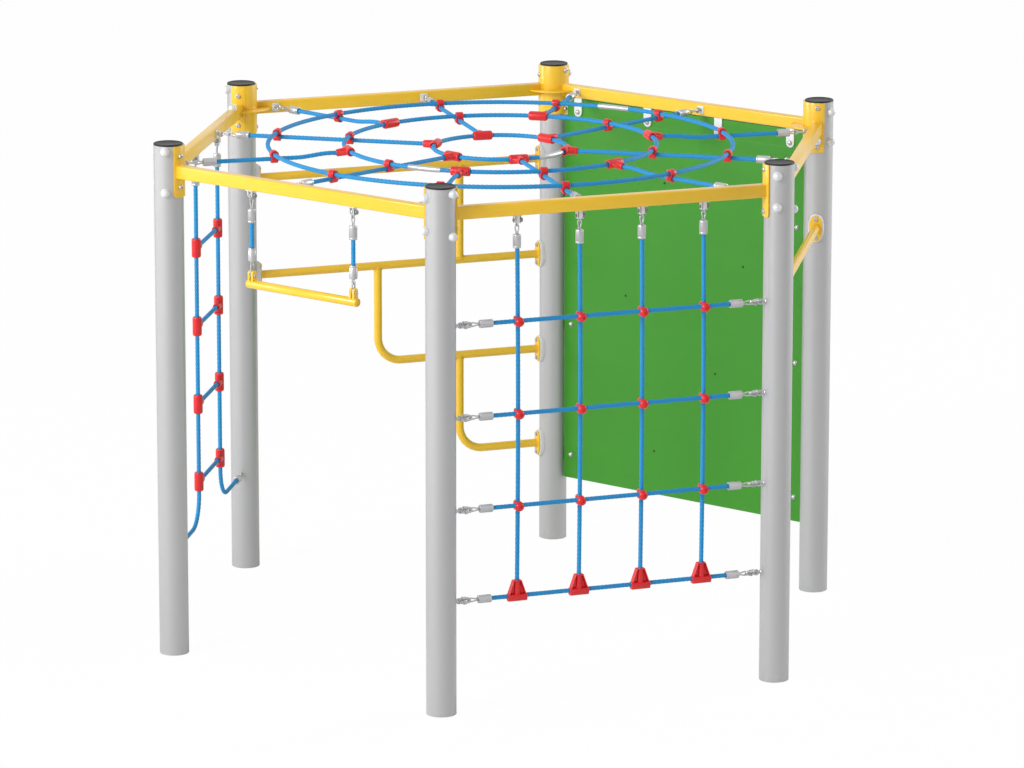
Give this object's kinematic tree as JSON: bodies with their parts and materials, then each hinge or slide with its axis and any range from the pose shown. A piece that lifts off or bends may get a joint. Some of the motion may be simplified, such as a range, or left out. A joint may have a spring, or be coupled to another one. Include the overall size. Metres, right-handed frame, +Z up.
{
  "type": "climbing frame",
  "caption": "Hexagonal play frame: steel posts and beams with a rope roof net, side net, rope ladder, hanging trapeze, bent pipe frame, cross bar and climbing wall",
  "frame": {"origin": "on the ground, at the middle of the hexagon of posts", "axes": "+Z up, +X from the middle to the post between the cross bar and the climbing wall, -Y to the side net"},
  "size_m": [2.8344, 2.469, 2.0223],
  "materials": {
    "bare_steel": "bare galvanised or clear-coated silver steel",
    "cap_plastic": "dark grey plastic",
    "yellow_paint": "smooth yellow powder coat",
    "green_panel": "green plastic panel",
    "blue_rope": "blue braided rope on a wire core, with red plastic connectors and steel ferrules"
  },
  "bodies": {
    "climbing_frame": {"post_1": "bare_steel", "post_2": "bare_steel", "post_3": "bare_steel", "post_4": "bare_steel", "post_5": "bare_steel", "post_6": "bare_steel", "cap_1": "cap_plastic", "cap_2": "cap_plastic", "cap_3": "cap_plastic", "cap_4": "cap_plastic", "cap_5": "cap_plastic", "cap_6": "cap_plastic", "corner_plate_1": "yellow_paint", "corner_plate_2": "yellow_paint", "corner_plate_3": "yellow_paint", "corner_plate_4": "yellow_paint", "corner_plate_5": "yellow_paint", "corner_plate_6": "yellow_paint", "beam_1": "yellow_paint", "beam_2": "yellow_paint", "beam_3": "yellow_paint", "beam_4": "yellow_paint", "beam_5": "yellow_paint", "beam_6": "yellow_paint", "pipe_frame": "yellow_paint", "cross_bar": "yellow_paint", "climbing_wall": "green_panel", "outer_ring_rope": "blue_rope", "middle_ring_rope": "blue_rope", "inner_ring_rope": "blue_rope", "spoke_rope_1": "blue_rope", "spoke_rope_2": "blue_rope", "spoke_rope_3": "blue_rope", "spoke_rope_4": "blue_rope", "spoke_rope_5": "blue_rope", "spoke_rope_6": "blue_rope", "spoke_rope_7": "blue_rope", "spoke_rope_8": "blue_rope", "spoke_rope_9": "blue_rope", "spoke_rope_10": "blue_rope", "spoke_rope_11": "blue_rope", "spoke_rope_12": "blue_rope", "net_upright_rope_1": "blue_rope", "net_upright_rope_2": "blue_rope", "net_upright_rope_3": "blue_rope", "net_upright_rope_4": "blue_rope", "net_cross_rope_1": "blue_rope", "net_cross_rope_2": "blue_rope", "net_cross_rope_3": "blue_rope", "net_cross_rope_4": "blue_rope", "ladder_left_rope": "blue_rope", "ladder_right_rope": "blue_rope"},
    "trapeze_top_links": {"trapeze_top_link_left": "bare_steel", "trapeze_top_link_right": "bare_steel"},
    "trapeze_left_hanger": {"trapeze_rope_left": "blue_rope"},
    "trapeze_right_hanger": {"trapeze_rope_right": "blue_rope"},
    "trapeze_lower_links": {"trapeze_lower_link_left": "bare_steel", "trapeze_lower_link_right": "bare_steel"},
    "trapeze_bar": {"trapeze_bar": "yellow_paint"}
  },
  "joints": [
    {"name": "trapeze_swing", "type": "hinge", "parent": "climbing_frame", "child": "trapeze_top_links", "pos_m": [-1.02, -0.5889, 1.87], "axis": [0.5, -0.866, 0], "range_deg": [-75, 75]},
    {"name": "trapeze_left_sway", "type": "hinge", "parent": "trapeze_top_links", "child": "trapeze_left_hanger", "pos_m": [-1.147, -0.36893, 1.8475], "axis": [0.866, 0.5, 0], "range_deg": [-30, 30]},
    {"name": "trapeze_right_sway", "type": "hinge", "parent": "trapeze_top_links", "child": "trapeze_right_hanger", "pos_m": [-0.893, -0.80887, 1.8475], "axis": [0.866, 0.5, 0], "range_deg": [-30, 30]},
    {"name": "trapeze_bar_level", "type": "hinge", "parent": "trapeze_left_hanger", "child": "trapeze_lower_links", "pos_m": [-1.147, -0.36893, 1.6007], "axis": [0.866, 0.5, 0], "range_deg": [-30, 30]},
    {"name": "trapeze_bar_pitch", "type": "hinge", "parent": "trapeze_lower_links", "child": "trapeze_bar", "pos_m": [-1.02, -0.5889, 1.5605], "axis": [0.5, -0.866, 0], "range_deg": [-60, 60]}
  ],
  "couplings": [
    {"joint": "trapeze_right_sway", "follows": "trapeze_left_sway", "ratio": 1},
    {"joint": "trapeze_bar_level", "follows": "trapeze_left_sway", "ratio": -1}
  ]
}
